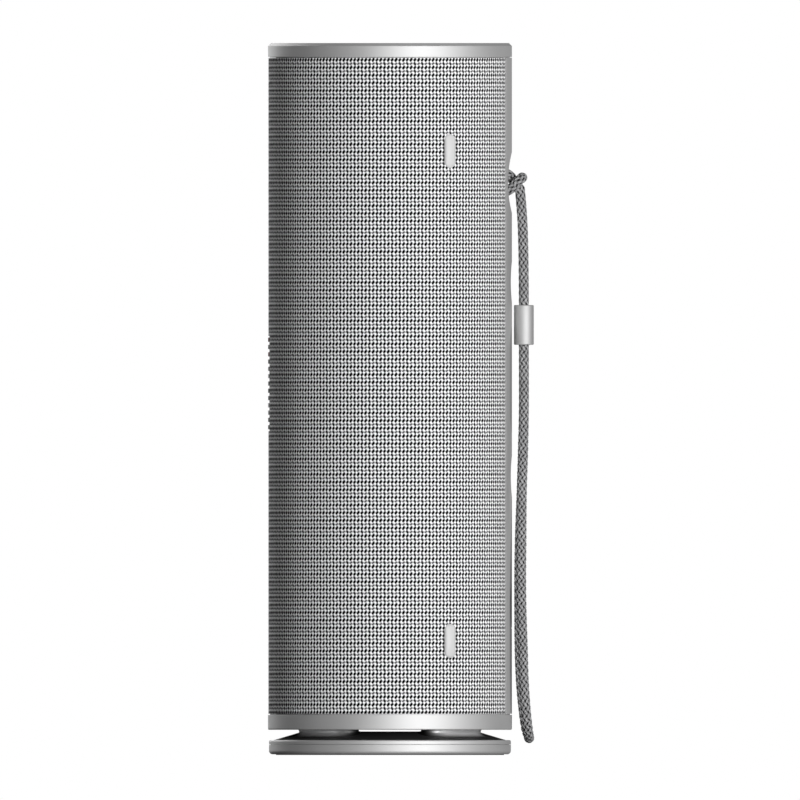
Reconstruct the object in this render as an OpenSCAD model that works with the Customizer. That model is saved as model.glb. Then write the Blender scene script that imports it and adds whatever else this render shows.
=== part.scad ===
// Portable smart speaker: a fabric-wrapped cylinder on a windowed neck, with a wrist strap.
// Frame: +Z up, origin at the bottom centre of the base. The spine is on +X, the badge on -X.

/* [Body] */
// Diameter of the body across the fabric
body_d = 73.6; // [72:0.2:78]
// Height of the whole speaker
total_h = 214.8; // [212:0.1:230]
// Height of the plain ring at the top
top_ring_h = 4.2; // [3.5:0.1:6]
// Height of the plain ring at the bottom of the body
lower_ring_h = 4.5; // [4:0.1:6]
// Height of the open gap over the base disc
neck_gap = 3.1; // [3:0.1:4]

/* [Base] */
// Diameter of the base disc
base_d = 73; // [70:0.2:76]
// Height of the base disc and its foot together
base_h = 4.5; // [4:0.1:6]
// Outside diameter of the ring of neck pillars
neck_d = 61.2; // [58:0.2:64]
// Angle that one neck window spans
window_angle = 46.4; // [40:0.2:54]

/* [Spine] */
// Half of the angle that the spine strip spans
spine_half_angle = 18; // [16:0.5:20]
// Diameter of the round dished buttons and of the port cover
button_d = 13.5; // [12:0.1:13.6]
// Height of the upper round button
volume_up_z = 142.7; // [141:0.1:145]
// Height of the lower round button
volume_down_z = 84.05; // [82:0.1:86]
// Height of the long button's centre
action_z = 113.3; // [112:0.1:115]
// Length of the long button
action_len = 32.5; // [28:0.5:34]
// Height of the port cover's centre
port_z = 45.25; // [44:0.05:47]
// Travel of each button
button_travel = 0.6; // [0.3:0.1:0.7]

/* [Strap] */
// Diameter of the braided strap cord
cord_d = 3.2; // [2.6:0.1:3.2]
// Height of the bar that holds the strap
bar_z = 172.7; // [171:0.1:175]
// Diameter of the strap bar
bar_d = 2.6; // [2:0.1:2.8]
// Length of the metal sleeve on the strap
sleeve_len = 12; // [9:0.5:14]
// Height of the sleeve's centre
sleeve_z = 129.75; // [124:0.25:136]

/* [Pads and badge] */
// Angle of the two anti-roll pads round the body
pad_angle = -60.4; // [-70:0.2:-50]
// Height of the lower pad's centre
lower_pad_z = 34.4; // [30:0.2:40]
// Height of the upper pad's centre
upper_pad_z = 182.2; // [176:0.2:188]
// How far the pads stand out of the fabric
pad_proud = 0.8; // [0.4:0.1:1.2]
// Height of the badge's centre
badge_z = 112.1; // [110:0.1:114]
// Height of the badge
badge_h = 28.6; // [28.5:0.1:30]

/* [Hidden] */
$fn = 96;
eps = 0.01;
body_r = body_d / 2;
base_r = base_d / 2;

// Heights, from the ground up
grip_drop = 0.2;
foot_top = 3.1;
disc_z = 3.2;
seam_depth = 0.5;
cone_r = base_r - 1.5;
plateau_z = base_h + neck_gap - 0.5;
plateau_r = 26.3;
lower_z = base_h + neck_gap;
lower_top = lower_z + lower_ring_h;
top_ring_z = total_h - top_ring_h;
fabric_z0 = lower_top + 0.35;
fabric_z1 = top_ring_z - 0.3;
seat_z = lower_top + 1.8;
shell_top = top_ring_z - 4;

// Walls, from the outside in
fabric_r = body_r - 0.1;
grille_r = body_r - 0.75;
spine_in_r = body_r - 1.9;
spigot_out_r = body_r - 0.6;
spigot_in_r = body_r - 2.2;
shell_r = body_r - 2.4;
shell_in_r = shell_r - 2.2;
ring_in_r = body_r - 5.8;

// Neck
pillar_in_r = 23.7;
pillar_angle = 90 - window_angle;
neck_r = neck_d / 2;
base_screw_r = 27.3;

// Spine
scoop_half = 9.2;
scoop_r = 20;
scoop_rim_x = sqrt(body_r * body_r - scoop_half * scoop_half);
bar_x = body_r - 2.8;
bar_half = 9.3;
pocket_r = 7.9;
pocket_half = 7.4;
pocket_wall = 1.6;
button_gap = 0.2;
button_back = body_r - 4.8;
flange_t = 0.8;
keypad_t = 0.4;
keypad_x = button_back - button_travel - 0.1;
dish_depth = 0.85;
dish_r = 24.5;
cover_t = 1.8;
cover_hinge_x = body_r - 0.45;
cover_hinge_z = port_z - button_d / 2 + 0.2;
usb_w = 3.3;
usb_h = 9;

// Radiators
top_lip_z = total_h - 3.1;
bottom_lip_z = 9.8;

// Woofer, facing -X
baffle_x = -23.4;
woofer_z = 141;
woofer_half = 16;
woofer_r = 23;
cone_edge_r = 17;
coil_r = 10;
tweeter_x = -31.4;
tweeter_z = 196;

// Strap: the loop's centre line, from the knot down round the bottom and up again
sleeve_wall = 1.15;
sleeve_gap = 0.25;
strand_y = 1.8;
strap_x = 40.4;
STRAP_ROUTE = [
    [39.2, -1.8, 171], [39.7, -1.8, 165], [40.1, -1.8, 158], [40.3, -1.8, 149],
    [40.4, -1.8, 137], [40.4, -1.8, 120], [40.4, -1.8, 104], [40.2, -2.8, 92],
    [39.8, -5, 79], [39.7, -7.4, 66], [39.6, -9.2, 54], [39.7, -10, 44],
    [40.1, -10.6, 32], [40.4, -10.7, 22], [41, -9.8, 13.4], [41.6, -7, 8],
    [41.9, -3.6, 5.8], [42, 0, 5.1], [41.8, 3.6, 5.8], [41.1, 7, 8],
    [40.3, 9.8, 13.4], [39.5, 10.7, 22], [39.1, 10.6, 32], [39, 10, 44],
    [39, 9.2, 54], [39.2, 7.4, 66], [39.7, 5, 79], [40.1, 2.8, 92],
    [40.4, 1.8, 104], [40.4, 1.8, 120], [40.4, 1.8, 137], [40.3, 1.8, 149],
    [40.1, 1.8, 158], [39.7, 1.8, 165], [39.2, 1.8, 171]];
knot_z = 171;

// ---- Shared shapes ----

// A ring or disc of revolution between two radii and two heights
module ring(r_out, r_in, z0, z1) {
    rotate_extrude() translate([r_in, z0]) square([r_out - r_in, z1 - z0]);
}

// A stretch of a tube's wall, from angle a0 to angle a1
module wall_arc(r_out, r_in, z0, z1, a0, a1) {
    rotate([0, 0, a0]) rotate_extrude(angle = a1 - a0)
        translate([r_in, z0]) square([r_out - r_in, z1 - z0]);
}

// A flat outline with round ends, its long axis along X
module stadium(half, r) {
    union() {
        translate([-half, -r]) square([2 * half, 2 * r]);
        translate([-half, 0]) circle(r);
        translate([half, 0]) circle(r);
    }
}

// The same outline stood up in the YZ plane and extruded along +X from x0 to x1
module stadium_x(half, r, x0, x1, z) {
    translate([x0, 0, z]) rotate([0, 90, 0]) linear_extrude(x1 - x0) stadium(half, r);
}

// A round bar along X
module bar_x_axis(r, x0, x1, y, z) {
    translate([x0, y, z]) rotate([0, 90, 0]) cylinder(r = r, h = x1 - x0);
}

// A round bar along Y, centred on the middle plane
module along_y(r, half, x, z) {
    translate([x, half, z]) rotate([90, 0, 0]) cylinder(r = r, h = 2 * half);
}

// Copies of a shape at the four corners between the windows
module at_corners() {
    for (a = [45:90:315]) rotate([0, 0, a]) children();
}

// Clearance holes for the base screws
module base_screw_holes(r = 1.25) {
    at_corners() translate([base_screw_r, 0, -1]) cylinder(r = r, h = 16);
}

// A block given by its two corners
module block(a, b) {
    translate(a) cube(b - a);
}

// Points of half an ellipse over a radial span, from the outer end to the inner end
function roll_arc(mid, half, z, rise) =
    [for (a = [0:20:180]) [mid + half * cos(a), z + rise * sin(a)]];

function reversed(v) = [for (i = [len(v) - 1:-1:0]) v[i]];

// A rubber roll surround: an outer lip, a half roll of even wall and an inner lip
module roll_surround(r_lip, r_roll, r_in, z, rise, t) {
    mid = (r_roll + r_in + 1.4) / 2;
    half = (r_roll - r_in - 1.4) / 2;
    outer = roll_arc(mid, half, z + t, rise);
    inner = roll_arc(mid, half - t, z, rise - t);
    rotate_extrude() polygon(concat(
        [[r_lip, z], [r_lip, z + t]], outer, [[r_in, z + t], [r_in, z]], reversed(inner)));
}

// ---- Base and neck ----

module base_grip() {
    color([0.12, 0.12, 0.12]) ring(base_r - 2.1, base_r - 6, 0, 1.6);
}

module base_foot() {
    edge = 1.1;
    color([0.62, 0.62, 0.63]) difference() {
        rotate_extrude() polygon(concat(
            [[0, grip_drop]],
            [for (a = [-90:15:0]) [base_r - edge + edge * cos(a), grip_drop + edge + edge * sin(a)]],
            [[base_r, foot_top], [base_r - seam_depth, foot_top],
             [base_r - seam_depth, disc_z], [0, disc_z]]));
        ring(base_r - 2, base_r - 6.1, grip_drop - 1, 1.7);
        base_screw_holes(2.3);
    }
}

module base_disc() {
    edge = 0.45;
    color([0.62, 0.62, 0.63]) difference() {
        rotate_extrude() polygon(concat(
            [[0, disc_z], [base_r, disc_z]],
            [for (a = [0:22.5:90]) [base_r - edge + edge * cos(a), base_h - edge + edge * sin(a)]],
            [[0, base_h]]));
        base_screw_holes();
    }
}

// Height of the deflector's slope at a radius
function slope_z(r) = base_h + (cone_r - r) * (plateau_z - base_h) / (cone_r - plateau_r);

module deflector() {
    color([0.1, 0.1, 0.1]) difference() {
        rotate_extrude() polygon([
            [0, base_h], [cone_r, base_h], [plateau_r, plateau_z], [0, plateau_z]]);
        base_screw_holes();
    }
}

// Four pillars with a waisted outer face, standing on the deflector's slope
module neck_pillars() {
    waist = [
        [neck_r + 0.4, lower_z], [neck_r + 0.1, lower_z - 0.3], [neck_r, lower_z - 0.7],
        [neck_r + 0.1, lower_z - 1.2], [neck_r + 0.5, lower_z - 1.6]];
    color([0.3, 0.3, 0.31]) difference() {
        at_corners() rotate([0, 0, -pillar_angle / 2]) rotate_extrude(angle = pillar_angle) polygon(concat(
            [[pillar_in_r, lower_z]], waist,
            [[neck_r + 1.4, slope_z(neck_r + 1.4) + eps],
             [plateau_r, plateau_z + eps], [pillar_in_r, plateau_z + eps]]));
        base_screw_holes();
    }
}

module base_screws() {
    color([0.6, 0.6, 0.6]) at_corners() translate([base_screw_r, 0, 1.7]) union() {
        cylinder(r = 2.1, h = 1.45);
        cylinder(r = 1.2, h = 9);
    }
}

module lower_ring() {
    edge = 0.35;
    color([0.66, 0.66, 0.67]) rotate_extrude() polygon(concat(
        [[ring_in_r, lower_z]],
        [for (a = [-90:30:0]) [body_r - edge + edge * cos(a), lower_z + edge + edge * sin(a)]],
        [[body_r, lower_top], [spigot_out_r, lower_top], [spigot_out_r, fabric_z0 - 0.02],
         [spigot_in_r, fabric_z0 - 0.02], [spigot_in_r, lower_top], [ring_in_r, lower_top]]));
}

// ---- Bottom passive radiator ----

module bottom_frame() {
    rim_r = ring_in_r - 0.1;
    color([0.16, 0.16, 0.16]) difference() {
        rotate_extrude() polygon([
            [26, lower_z + 0.1], [rim_r, lower_z + 0.1], [rim_r, lower_top + 0.05],
            [shell_r, lower_top + 0.05], [shell_r, seat_z], [22.6, seat_z], [22.6, 11.35],
            [24.8, 11.35], [24.8, 8.9], [26, 8.9]]);
        base_screw_holes();
    }
}

module bottom_retainer() {
    color([0.16, 0.16, 0.16]) ring(25.95, 22.4, lower_z + 0.15, 8.85);
}

module bottom_surround() {
    color([0.08, 0.08, 0.08]) translate([0, 0, 2 * bottom_lip_z + 0.6]) mirror([0, 0, 1])
        roll_surround(24.6, 22, 14.4, bottom_lip_z, 1.2, 0.6);
}

module bottom_plate() {
    color([0.55, 0.55, 0.56]) rotate_extrude() polygon([
        [0, 8.4], [13.4, 8.4], [14.8, 9], [14.8, bottom_lip_z - 0.02], [0, bottom_lip_z - 0.02]]);
}

module bottom_weight() {
    color([0.5, 0.5, 0.5]) ring(11, 1, bottom_lip_z, bottom_lip_z + 4);
}

// ---- Cabinet ----

// Places of the cabinet screws, left and right of the middle plane
SHELL_SCREW_Z = [30, 92, 192];
screw_y = 30.6;

module shell_half() {
    wall_arc(shell_r, shell_in_r, seat_z + 0.05, shell_top, -90, 90);
}

module front_shell() {
    color([0.18, 0.18, 0.18]) difference() {
        union() {
            difference() {
                rotate([0, 0, 180]) shell_half();
                block([-50, -23.6, 99], [-10, 23.6, 184]);
                block([-50, -11.2, 184 - eps], [-10, 11.2, 206.4]);
            }
            intersection() {
                block([baffle_x, -26, 97], [baffle_x + 2.2, 26, 186]);
                cylinder(r = shell_r - 0.4, h = total_h);
            }
            intersection() {
                block([tweeter_x, -13, 183], [tweeter_x + 2, 13, 206]);
                cylinder(r = shell_r - 0.4, h = total_h);
            }
            for (z = SHELL_SCREW_Z, s = [-1, 1]) bar_x_axis(2.4, -8, -0.3, s * screw_y, z);
        }
        stadium_x(woofer_half, woofer_r - 1.6, baffle_x - 1, baffle_x + 4, woofer_z);
        bar_x_axis(8.2, tweeter_x - 1, tweeter_x + 4, 0, tweeter_z);
        for (z = SHELL_SCREW_Z, s = [-1, 1]) bar_x_axis(1.05, -7, 1, s * screw_y, z);
        block([-0.3, -50, 0], [1, 50, 250]);
    }
}

module rear_shell() {
    color([0.18, 0.18, 0.18]) difference() {
        union() {
            shell_half();
            for (z = SHELL_SCREW_Z, s = [-1, 1]) bar_x_axis(2.4, 0.3, 8, s * screw_y, z);
        }
        for (z = SHELL_SCREW_Z, s = [-1, 1]) bar_x_axis(1.05, -1, 9, s * screw_y, z);
        for (z = SHELL_SCREW_Z, s = [-1, 1]) bar_x_axis(2.1, 8.02, 20, s * screw_y, z);
        block([20, -9.6, 72], [50, 9.6, 155]);
        block([20, -9.6, port_z - 12], [50, 9.6, port_z + 12]);
        block([20, -10.2, bar_z - 10], [50, 10.2, bar_z + 10]);
        block([-1, -50, 0], [0.3, 50, 250]);
    }
}

module shell_screws() {
    color([0.6, 0.6, 0.6]) for (z = SHELL_SCREW_Z, s = [-1, 1]) union() {
        bar_x_axis(1, -6, 8.05, s * screw_y, z);
        bar_x_axis(1.9, 8.05, 9.2, s * screw_y, z);
    }
}

// Perforated tube that carries the fabric
module grille_tube() {
    slot_w = 6;
    slot_h = 15;
    color([0.1, 0.1, 0.1]) difference() {
        wall_arc(grille_r, spine_in_r + 0.2, fabric_z0, fabric_z1, 18.4, 341.6);
        for (a = [36:18:324], z = [20:20:180])
            rotate([0, 0, a]) block([30, -slot_w / 2, z], [40, slot_w / 2, z + slot_h]);
        pad_hole(lower_pad_z);
        pad_hole(upper_pad_z);
        badge_hole();
    }
}

module pad_hole(z) {
    rotate([0, 0, pad_angle]) stadium_x(3.1, 2.05, body_r - 3, body_r + 3, z);
}

module badge_hole() {
    block([-body_r - 1, -5.75, badge_z - badge_h / 2], [-30, 5.75, badge_z + badge_h / 2]);
}

module fabric_sleeve() {
    color([0.6, 0.6, 0.6]) difference() {
        wall_arc(fabric_r, grille_r + 0.02, fabric_z0, fabric_z1, 18.3, 341.7);
        pad_hole(lower_pad_z);
        pad_hole(upper_pad_z);
        badge_hole();
    }
}

// ---- Spine ----

// Round opening with a shallow bowl, and a deeper pocket that the knot turns in
module strap_scoop() {
    intersection() {
        bar_x_axis(scoop_half, 20, 40, 0, bar_z);
        union() {
            translate([scoop_rim_x + sqrt(scoop_r * scoop_r - scoop_half * scoop_half), 0, bar_z])
                sphere(r = scoop_r);
            along_y(pocket_r, pocket_half, bar_x, bar_z);
        }
    }
}

module spine() {
    block_x = bar_x - pocket_r - pocket_wall;
    color([0.6, 0.6, 0.61]) difference() {
        union() {
            wall_arc(body_r, spine_in_r, fabric_z0, fabric_z1 + 0.1,
                     -spine_half_angle, spine_half_angle);
            block([block_x, -10, bar_z - 9.6], [spine_in_r + 0.2, 10, bar_z + 9.6]);
        }
        strap_scoop();
        along_y(bar_d / 2 + 0.02, bar_half + 0.1, bar_x, bar_z);
        bar_x_axis(button_d / 2 + button_gap, 30, 40, 0, volume_up_z);
        bar_x_axis(button_d / 2 + button_gap, 30, 40, 0, volume_down_z);
        stadium_x(action_len / 2 - button_d / 2, button_d / 2 + button_gap, 30, 40, action_z);
        bar_x_axis(button_d / 2 + button_gap, 30, 40, 0, port_z);
        along_y(0.75, 3, cover_hinge_x, cover_hinge_z);
    }
}

module strap_bar() {
    color([0.75, 0.75, 0.76]) along_y(bar_d / 2, bar_half, bar_x, bar_z);
}

// A round button with a dished face that follows the body's curve
module dished_button(z) {
    intersection() {
        difference() {
            union() {
                bar_x_axis(button_d / 2, button_back, 40, 0, z);
                bar_x_axis(button_d / 2 + 0.8, button_back, button_back + flange_t, 0, z);
            }
            translate([body_r - dish_depth + dish_r, 0, z]) sphere(r = dish_r);
        }
        cylinder(r = body_r, h = total_h);
    }
}

module volume_up_button() {
    color([0.6, 0.6, 0.61]) dished_button(volume_up_z);
}

module volume_down_button() {
    color([0.6, 0.6, 0.61]) dished_button(volume_down_z);
}

module action_button() {
    half = action_len / 2 - button_d / 2;
    color([0.64, 0.64, 0.65]) intersection() {
        union() {
            stadium_x(half, button_d / 2, button_back, 40, action_z);
            stadium_x(half, button_d / 2 + 0.8, button_back, button_back + flange_t, action_z);
        }
        cylinder(r = body_r, h = total_h);
    }
}

module keypad() {
    color([0.2, 0.2, 0.2]) block([keypad_x - keypad_t, -8.6, 74], [keypad_x, 8.6, 153]);
}

module button_board() {
    color([0.05, 0.25, 0.12]) block([27.6, -8.4, 74], [28.6, 8.4, 153]);
}

module tact_switches() {
    color([0.75, 0.75, 0.76]) for (z = [volume_down_z, action_z, volume_up_z]) union() {
        block([28.62, -2.2, z - 2.2], [30.2, 2.2, z + 2.2]);
        bar_x_axis(1, 30.1, keypad_x - keypad_t - 0.05, 0, z);
    }
}

module port_cover() {
    color([0.5, 0.5, 0.51]) intersection() {
        union() {
            bar_x_axis(button_d / 2, body_r - cover_t, 40, 0, port_z);
            along_y(0.4, 1.4, cover_hinge_x, cover_hinge_z);
        }
        cylinder(r = body_r, h = total_h);
    }
}

module usb_socket() {
    color([0.7, 0.7, 0.71]) union() {
        difference() {
            stadium_x(usb_h / 2 - usb_w / 2, usb_w / 2, 27.6, 34.7, port_z);
            stadium_x(usb_h / 2 - usb_w / 2, usb_w / 2 - 0.3, 28.6, 36, port_z);
        }
        block([28, -0.35, port_z - 3.3], [34.2, 0.35, port_z + 3.3]);
    }
}

module port_board() {
    color([0.05, 0.25, 0.12]) block([26.4, -8.4, port_z - 11], [27.58, 8.4, port_z + 11]);
}

// ---- Pads and badge ----

module anti_roll_pad(z) {
    color([0.8, 0.8, 0.8]) intersection() {
        rotate([0, 0, pad_angle]) stadium_x(3.1, 2, body_r - 1.6, body_r + 2, z);
        cylinder(r = body_r + pad_proud, h = total_h);
    }
}

module upper_pad() {
    anti_roll_pad(upper_pad_z);
}

module lower_pad() {
    anti_roll_pad(lower_pad_z);
}

badge_face_x = -body_r + 0.45;
bar_pitch = 2.2;
bar_r = 0.65;
// Half widths of the badge's level bars, from the bottom bar to the top bar
BADGE_BARS = [2, 2.8, 3.8, 4.4, 3.2, 2.2, 3.6, 4.6, 3.8, 2.4, 3.4, 2.6, 2];
// Which of the bars have the accent colour
ACCENTS = [10, 12];

module badge_plate() {
    color([0.5, 0.5, 0.51]) block([badge_face_x, -5.65, badge_z - badge_h / 2 + 0.1],
                                  [badge_face_x + 1.2, 5.65, badge_z + badge_h / 2 - 0.1]);
}

// Level bars with round ends, trimmed to the body's curve
module level_bars(indices) {
    mid = (len(BADGE_BARS) - 1) / 2;
    intersection() {
        for (i = indices) translate([badge_face_x - 1, 0, badge_z + (i - mid) * bar_pitch])
            rotate([90, 0, 90]) linear_extrude(1 - eps) stadium(BADGE_BARS[i] - bar_r, bar_r);
        cylinder(r = body_r - 0.03, h = total_h, $fn = 720);
    }
}

module badge_bars() {
    last = len(BADGE_BARS) - 1;
    color([0.72, 0.72, 0.73]) level_bars([for (i = [0:last]) if (len(search(i, ACCENTS)) == 0) i]);
}

module badge_accents() {
    color([0.4, 0.05, 0.06]) level_bars(ACCENTS);
}

// ---- Top ----

module top_ring() {
    edge = 0.9;
    color([0.66, 0.66, 0.67]) difference() {
        rotate_extrude() polygon([
            [ring_in_r + 0.1, top_ring_z], [spigot_in_r, top_ring_z],
            [spigot_in_r, fabric_z1 + 0.12], [spigot_out_r, fabric_z1 + 0.12],
            [spigot_out_r, top_ring_z], [body_r, top_ring_z], [body_r, total_h - edge],
            [body_r - edge, total_h], [ring_in_r + 0.6, total_h], [ring_in_r + 0.1, total_h - 0.5]]);
        at_corners() translate([33.4, 0, total_h - 3]) cylinder(r = 0.5, h = 5);
    }
}

module light_ring() {
    color([0.85, 0.85, 0.84]) rotate_extrude() polygon([
        [28.9, total_h - 1.5], [30.4, total_h - 1.5], [30.4, top_ring_z + 0.9],
        [ring_in_r, top_ring_z + 0.9], [ring_in_r, total_h - 0.6], [28.9, total_h - 0.6]]);
}

module light_board() {
    color([0.05, 0.25, 0.12]) ring(ring_in_r, 30.3, top_ring_z + 0.1, top_ring_z + 0.85);
}

module microphones() {
    color([0.75, 0.75, 0.76]) at_corners()
        block([32.2, -1.2, top_ring_z - 2.3], [34.4, 1.2, top_ring_z - 1.35]);
}

module top_frame() {
    color([0.16, 0.16, 0.16]) difference() {
        rotate_extrude() polygon([
            [27.4, shell_top + 0.05], [shell_r, shell_top + 0.05], [shell_r, top_ring_z - 0.1],
            [30.2, top_ring_z - 0.1], [30.2, top_ring_z + 0.1], [27.4, top_ring_z + 0.1]]);
        at_corners() block([31.9, -1.4, top_ring_z - 2.4], [36, 1.4, top_ring_z + 1]);
    }
}

module top_surround() {
    color([0.1, 0.1, 0.1]) roll_surround(30, 28.6, 20.2, top_lip_z, 1.3, 0.6);
}

module top_plate() {
    z = top_lip_z + 0.62;
    color([0.6, 0.6, 0.61]) rotate_extrude() polygon([
        [0, z], [21.2, z], [21.2, z + 0.6], [20.6, z + 1.1], [19.4, z + 1.1], [18.6, z + 0.7],
        [0, z + 0.7]]);
}

module top_weight() {
    color([0.5, 0.5, 0.5]) ring(12, 1, top_lip_z - 4, top_lip_z + 0.6);
}

// ---- Woofer and tweeter ----

// Turns a shape drawn facing +Z with its long side along X into one facing -X
module facing_front(x, z) {
    translate([x, 0, z]) rotate([0, -90, 0]) children();
}

module woofer_basket() {
    color([0.2, 0.2, 0.2]) facing_front(baffle_x, woofer_z) difference() {
        union() {
            linear_extrude(1.4) stadium(woofer_half, woofer_r - 0.4);
            translate([0, 0, -9]) linear_extrude(9) stadium(woofer_half, woofer_r - 1.9);
        }
        translate([0, 0, -7.6]) linear_extrude(20) stadium(woofer_half, woofer_r - 2.9);
        translate([0, 0, -20]) cylinder(r = 16.2, h = 30);
        for (s = [-1, 1]) translate([s * 26, 0, -20]) cylinder(r = 6, h = 30);
        for (sx = [-1, 1], sy = [-1, 1]) translate([sx * 24.5, sy * 19.2, -1])
            cylinder(r = 1.05, h = 4);
    }
}

module woofer_magnet() {
    color([0.3, 0.3, 0.3]) facing_front(baffle_x, woofer_z) difference() {
        translate([0, 0, -17]) cylinder(r = 16.1, h = 10);
        translate([0, 0, -15]) difference() {
            cylinder(r = coil_r + 0.8, h = 10);
            cylinder(r = coil_r - 0.9, h = 10);
        }
    }
}

module woofer_surround() {
    color([0.08, 0.08, 0.08]) facing_front(baffle_x, woofer_z) difference() {
        translate([0, 0, -1.6]) linear_extrude(1.5) stadium(woofer_half, woofer_r - 3);
        translate([0, 0, -2]) linear_extrude(3) stadium(woofer_half, cone_edge_r + 0.3);
    }
}

module woofer_cone() {
    color([0.12, 0.12, 0.12]) facing_front(baffle_x, woofer_z) difference() {
        translate([0, 0, -1.8]) linear_extrude(1) stadium(woofer_half, cone_edge_r);
        translate([0, 0, -3]) cylinder(r = coil_r - 0.6, h = 4);
    }
}

module dust_cap() {
    color([0.1, 0.1, 0.1]) facing_front(baffle_x, woofer_z) difference() {
        intersection() {
            translate([0, 0, -15.7]) sphere(r = 18);
            translate([0, 0, -0.78]) cylinder(r = coil_r, h = 5);
        }
        translate([0, 0, -16.2]) sphere(r = 17.8);
    }
}

module voice_coil() {
    color([0.7, 0.4, 0.2]) facing_front(baffle_x, woofer_z) translate([0, 0, -12.6])
        difference() {
            cylinder(r = coil_r + 0.3, h = 10.78);
            translate([0, 0, -1]) cylinder(r = coil_r - 0.4, h = 13);
        }
}

module woofer_screws() {
    color([0.6, 0.6, 0.6]) facing_front(baffle_x, woofer_z)
        for (sx = [-1, 1], sy = [-1, 1]) translate([sx * 24.5, sy * 19.2, 0]) union() {
            translate([0, 0, 0.02]) cylinder(r = 1, h = 1.4);
            translate([0, 0, 1.42]) cylinder(r = 1.8, h = 0.8);
        }
}

module tweeter_frame() {
    color([0.2, 0.2, 0.2]) facing_front(tweeter_x, tweeter_z) difference() {
        union() {
            cylinder(r = 10, h = 1.2);
            translate([0, 0, -7]) cylinder(r = 8, h = 7.5);
        }
        translate([0, 0, -4]) cylinder(r = 6.8, h = 10);
        translate([0, 0, -8]) cylinder(r = 5, h = 10);
    }
}

module tweeter_dome() {
    color([0.75, 0.75, 0.76]) facing_front(tweeter_x, tweeter_z) difference() {
        intersection() {
            translate([0, 0, -8.2]) sphere(r = 9);
            translate([0, 0, -2.6]) cylinder(r = 6.3, h = 6);
        }
        translate([0, 0, -8.4]) sphere(r = 8.7);
    }
}

module tweeter_magnet() {
    color([0.3, 0.3, 0.3]) facing_front(tweeter_x, tweeter_z)
        translate([0, 0, -7]) cylinder(r = 4.9, h = 2.9);
}

// ---- Battery and boards ----

cell_r = 9.2;
cell_y = 10.5;
cell_x = 4;
cell_z0 = 21;
cell_h = 65.2;

module battery_holder() {
    color([0.15, 0.15, 0.15]) difference() {
        block([cell_x - 10.4, -21, cell_z0 - 2], [cell_x + 10.4, 21, cell_z0 + cell_h + 2]);
        for (s = [-1, 1]) translate([cell_x, s * cell_y, cell_z0])
            cylinder(r = cell_r + 0.1, h = cell_h);
        block([cell_x - 11, -17, cell_z0 + 8], [cell_x + 11, 17, cell_z0 + cell_h - 8]);
    }
}

module battery_cell(side) {
    translate([cell_x, side * cell_y, cell_z0 + 0.05]) union() {
        cylinder(r = cell_r, h = cell_h - 1);
        translate([0, 0, cell_h - 1.1]) cylinder(r = 3, h = 1);
    }
}

module battery_cell_left() {
    color([0.1, 0.3, 0.55]) battery_cell(-1);
}

module battery_cell_right() {
    color([0.1, 0.3, 0.55]) battery_cell(1);
}

module main_board() {
    color([0.05, 0.25, 0.12]) block([20, -16, 24], [21.6, 16, 194]);
}

module board_chips() {
    color([0.4, 0.4, 0.42]) union() {
        block([17.6, -11, 96], [19.98, 11, 124]);
        block([18.4, -9, 132], [19.98, -1, 140]);
        block([18.4, 2, 130], [19.98, 10, 142]);
        block([17, -10, 152], [19.98, -2, 160]);
        block([17, 2, 152], [19.98, 10, 160]);
        block([18, -6, 170], [19.98, 6, 182]);
    }
}

// ---- Strap ----

strap_rings = 2;
strap_sides = 8;

// A point on the smooth curve through four neighbours, t from 0 to 1 between the middle two
function smooth(a, b, c, d, t) = 0.5 * (2 * b + (c - a) * t + (2 * a - 5 * b + 4 * c - d) * t * t
                                        + (3 * b - a - 3 * c + d) * t * t * t);

function at(v, i) = v[max(0, min(len(v) - 1, i))];

STRAP_LINE = concat(
    [for (i = [0:len(STRAP_ROUTE) - 2], k = [0:strap_rings - 1])
        smooth(at(STRAP_ROUTE, i - 1), at(STRAP_ROUTE, i), at(STRAP_ROUTE, i + 1),
               at(STRAP_ROUTE, i + 2), k / strap_rings)],
    [STRAP_ROUTE[len(STRAP_ROUTE) - 1]]);

function unit(v) = v / norm(v);

function tangent(v, i) = i == 0 || i == len(v) - 1 ? [0, 0, i == 0 ? -1 : 1]
                                                   : unit(at(v, i + 1) - at(v, i - 1));

// The ring of points round one place on the cord; out of the loop's plane is always +X
function cord_ring(v, i, r) =
    let (t = tangent(v, i), side = unit(cross([1, 0, 0], t)), up = cross(t, side))
    [for (k = [0:strap_sides - 1]) let (a = 360 * k / strap_sides)
        v[i] + r * cos(a) * up + r * sin(a) * side];

module strap_cord() {
    n = len(STRAP_LINE);
    s = strap_sides;
    points = [for (i = [0:n - 1]) each cord_ring(STRAP_LINE, i, cord_d / 2)];
    sides = [for (i = [0:n - 2], k = [0:s - 1])
        [i * s + k, i * s + (k + 1) % s, (i + 1) * s + (k + 1) % s, (i + 1) * s + k]];
    start = [for (k = [s - 1:-1:0]) k];
    end = [for (k = [0:s - 1]) (n - 1) * s + k];
    color([0.66, 0.66, 0.67]) polyhedron(points, concat(sides, [start, end]));
}

// The hitch round the bar, with the bight that crosses in front of the strands
module strap_knot() {
    color([0.66, 0.66, 0.67]) difference() {
        union() {
            along_y(4.4, 6.2, bar_x, bar_z);
            along_y(2.55, 5.3, 38.7, bar_z + 1);
            block([37.55, -3.5, knot_z], [40.85, 3.5, bar_z + 1]);
        }
        along_y(bar_d / 2 + 0.05, 8, bar_x, bar_z);
    }
}

module strap_sleeve() {
    slot_r = cord_d / 2 + sleeve_gap;
    color([0.8, 0.8, 0.81]) translate([strap_x, 0, sleeve_z - sleeve_len / 2]) rotate([0, 0, 90])
        difference() {
            linear_extrude(sleeve_len) stadium(strand_y, slot_r + sleeve_wall);
            translate([0, 0, -1]) linear_extrude(sleeve_len + 2) stadium(strand_y, slot_r);
        }
}

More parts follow.
